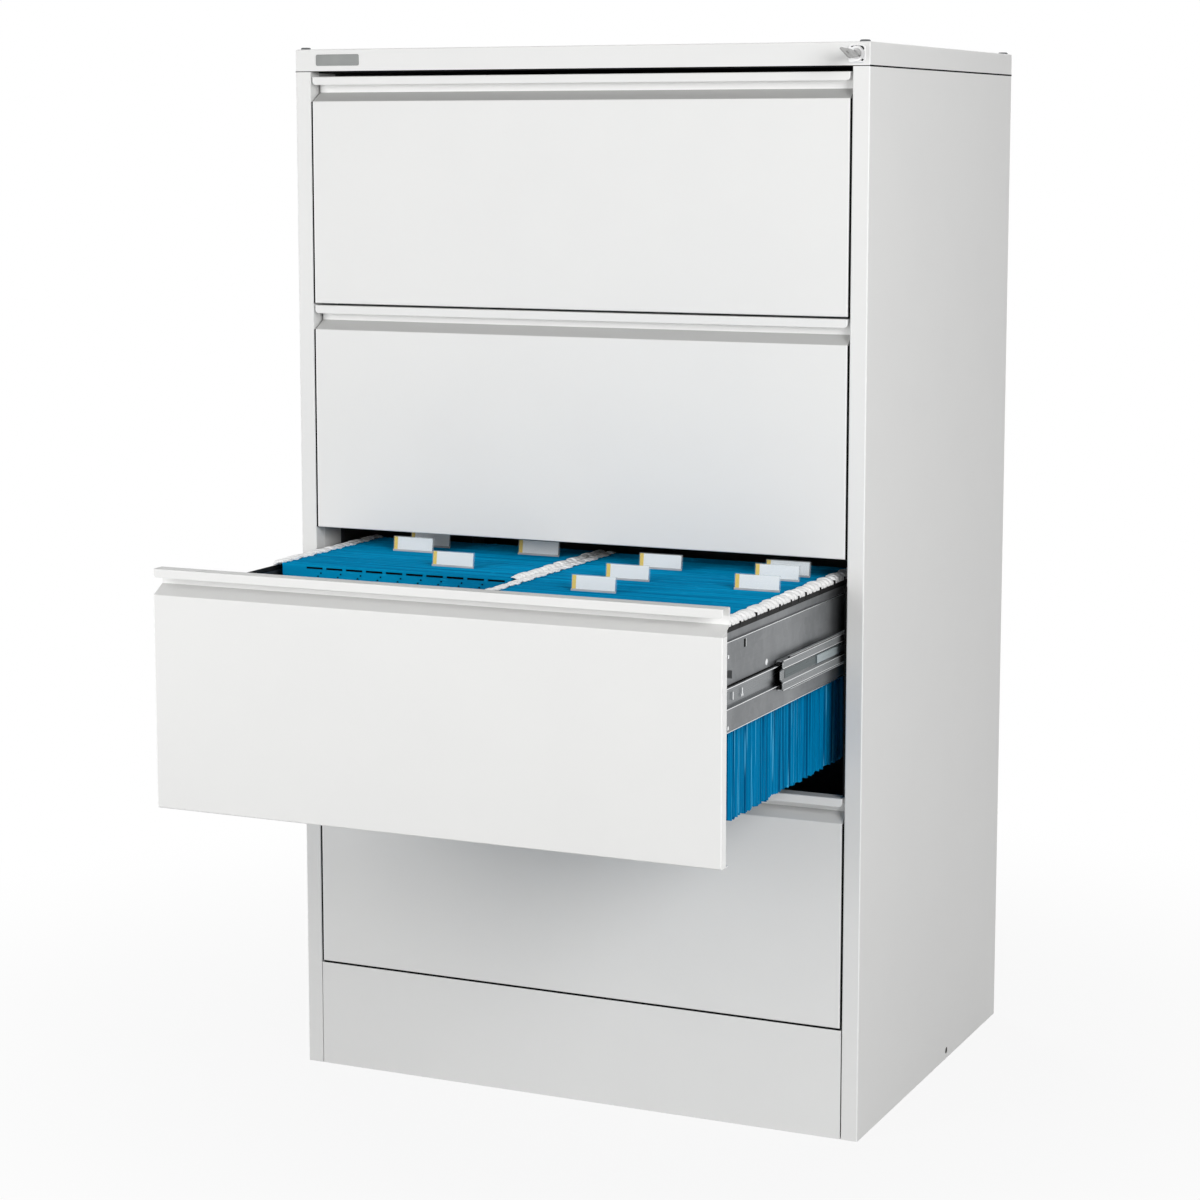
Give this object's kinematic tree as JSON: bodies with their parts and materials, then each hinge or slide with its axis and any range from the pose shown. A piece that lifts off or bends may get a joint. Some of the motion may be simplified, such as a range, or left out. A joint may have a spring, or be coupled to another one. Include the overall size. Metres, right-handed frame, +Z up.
{
  "type": "filing cabinet",
  "caption": "Free-standing sheet-steel filing cabinet with wide pull-out drawers for two rows of hanging folders, recessed grips, telescopic slides and a keyed bar lock.",
  "frame": {"origin": "centre of the carcass base, on the floor", "axes": "+X to the cabinet's right as seen from the front, +Y to the back, +Z up"},
  "size_m": [0.787, 0.986, 1.3595],
  "materials": {
    "light_grey_paint": "satin",
    "galvanised_steel": "satin",
    "dark_plastic": "matte",
    "badge_grey": "satin",
    "lock_chrome": "polished",
    "key_steel": "satin",
    "folder_blue": "matte",
    "hook_white": "satin",
    "tab_clear": "gloss"
  },
  "bodies": {
    "carcass": {"side_panel_left": "light_grey_paint", "side_panel_right": "light_grey_paint", "back_panel": "light_grey_paint", "top_panel": "light_grey_paint", "corner_plugs": "dark_plastic", "top_cross_beams": "galvanised_steel", "plinth_panel": "light_grey_paint", "base_panel": "light_grey_paint", "slide_uprights": "galvanised_steel", "slide_screws": "key_steel", "badge_plate": "badge_grey", "lock_plate": "lock_chrome", "lock_barrel": "lock_chrome", "lock_nut": "galvanised_steel", "lock_bar_guides": "galvanised_steel", "slide_outer_1": "galvanised_steel", "slide_outer_2": "galvanised_steel", "slide_outer_3": "galvanised_steel", "slide_outer_4": "galvanised_steel"},
    "lock_cylinder": {"lock_cylinder": "lock_chrome", "lock_cam": "galvanised_steel"},
    "key": {"key": "key_steel"},
    "lock_bar": {"lock_bar": "galvanised_steel", "lock_bar_fingers": "galvanised_steel"},
    "drawer_1": {"drawer_front_1": "light_grey_paint", "drawer_inner_panel_1": "light_grey_paint", "drawer_side_left_1": "galvanised_steel", "drawer_side_right_1": "galvanised_steel", "drawer_back_1": "galvanised_steel", "centre_rail_1": "galvanised_steel", "slide_inner_1": "galvanised_steel"},
    "slide_middle_1": {"slide_middle_1": "galvanised_steel"},
    "drawer_2": {"drawer_front_2": "light_grey_paint", "drawer_inner_panel_2": "light_grey_paint", "drawer_side_left_2": "galvanised_steel", "drawer_side_right_2": "galvanised_steel", "drawer_back_2": "galvanised_steel", "centre_rail_2": "galvanised_steel", "slide_inner_2": "galvanised_steel"},
    "slide_middle_2": {"slide_middle_2": "galvanised_steel"},
    "drawer_3": {"drawer_front_3": "light_grey_paint", "drawer_inner_panel_3": "light_grey_paint", "drawer_side_left_3": "galvanised_steel", "drawer_side_right_3": "galvanised_steel", "drawer_back_3": "galvanised_steel", "centre_rail_3": "galvanised_steel", "slide_inner_3": "galvanised_steel", "folders_left": "folder_blue", "folders_right": "folder_blue", "folder_hooks": "hook_white", "label_tabs": "tab_clear"},
    "slide_middle_3": {"slide_middle_3": "galvanised_steel"},
    "drawer_4": {"drawer_front_4": "light_grey_paint", "drawer_inner_panel_4": "light_grey_paint", "drawer_side_left_4": "galvanised_steel", "drawer_side_right_4": "galvanised_steel", "drawer_back_4": "galvanised_steel", "centre_rail_4": "galvanised_steel", "slide_inner_4": "galvanised_steel"},
    "slide_middle_4": {"slide_middle_4": "galvanised_steel"}
  },
  "joints": [
    {"name": "lock_turn", "type": "hinge", "parent": "carcass", "child": "lock_cylinder", "pos_m": [0.377, -0.29, 1.3426], "axis": [0, -1, 0], "range_deg": [-45, 45]},
    {"name": "key_withdraw", "type": "slide", "parent": "lock_cylinder", "child": "key", "axis": [0, -1, 0], "range_m": [0, 0.03]},
    {"name": "lock_bar_slide", "type": "slide", "parent": "carcass", "child": "lock_bar", "axis": [0, 0, 1], "range_m": [-0.00706, 0.00706]},
    {"name": "drawer_1_slide", "type": "slide", "parent": "carcass", "child": "drawer_1", "axis": [0, -1, 0], "range_m": [0, 0.48]},
    {"name": "slide_middle_1_slide", "type": "slide", "parent": "carcass", "child": "slide_middle_1", "axis": [0, -1, 0], "range_m": [0, 0.2789]},
    {"name": "drawer_2_slide", "type": "slide", "parent": "carcass", "child": "drawer_2", "axis": [0, -1, 0], "range_m": [0, 0.48]},
    {"name": "slide_middle_2_slide", "type": "slide", "parent": "carcass", "child": "slide_middle_2", "axis": [0, -1, 0], "range_m": [0, 0.2789]},
    {"name": "drawer_3_slide", "type": "slide", "parent": "carcass", "child": "drawer_3", "axis": [0, -1, 0], "range_m": [-0.396, 0.084]},
    {"name": "slide_middle_3_slide", "type": "slide", "parent": "carcass", "child": "slide_middle_3", "axis": [0, -1, 0], "range_m": [-0.2302, 0.0492]},
    {"name": "drawer_4_slide", "type": "slide", "parent": "carcass", "child": "drawer_4", "axis": [0, -1, 0], "range_m": [0, 0.48]},
    {"name": "slide_middle_4_slide", "type": "slide", "parent": "carcass", "child": "slide_middle_4", "axis": [0, -1, 0], "range_m": [0, 0.2789]}
  ],
  "couplings": [
    {"joint": "lock_turn", "follows": "lock_bar_slide", "rad_per_m": 111.11},
    {"joint": "slide_middle_1_slide", "follows": "drawer_1_slide", "ratio": 0.58},
    {"joint": "slide_middle_2_slide", "follows": "drawer_2_slide", "ratio": 0.58},
    {"joint": "slide_middle_3_slide", "follows": "drawer_3_slide", "ratio": 0.58},
    {"joint": "slide_middle_4_slide", "follows": "drawer_4_slide", "ratio": 0.58}
  ]
}
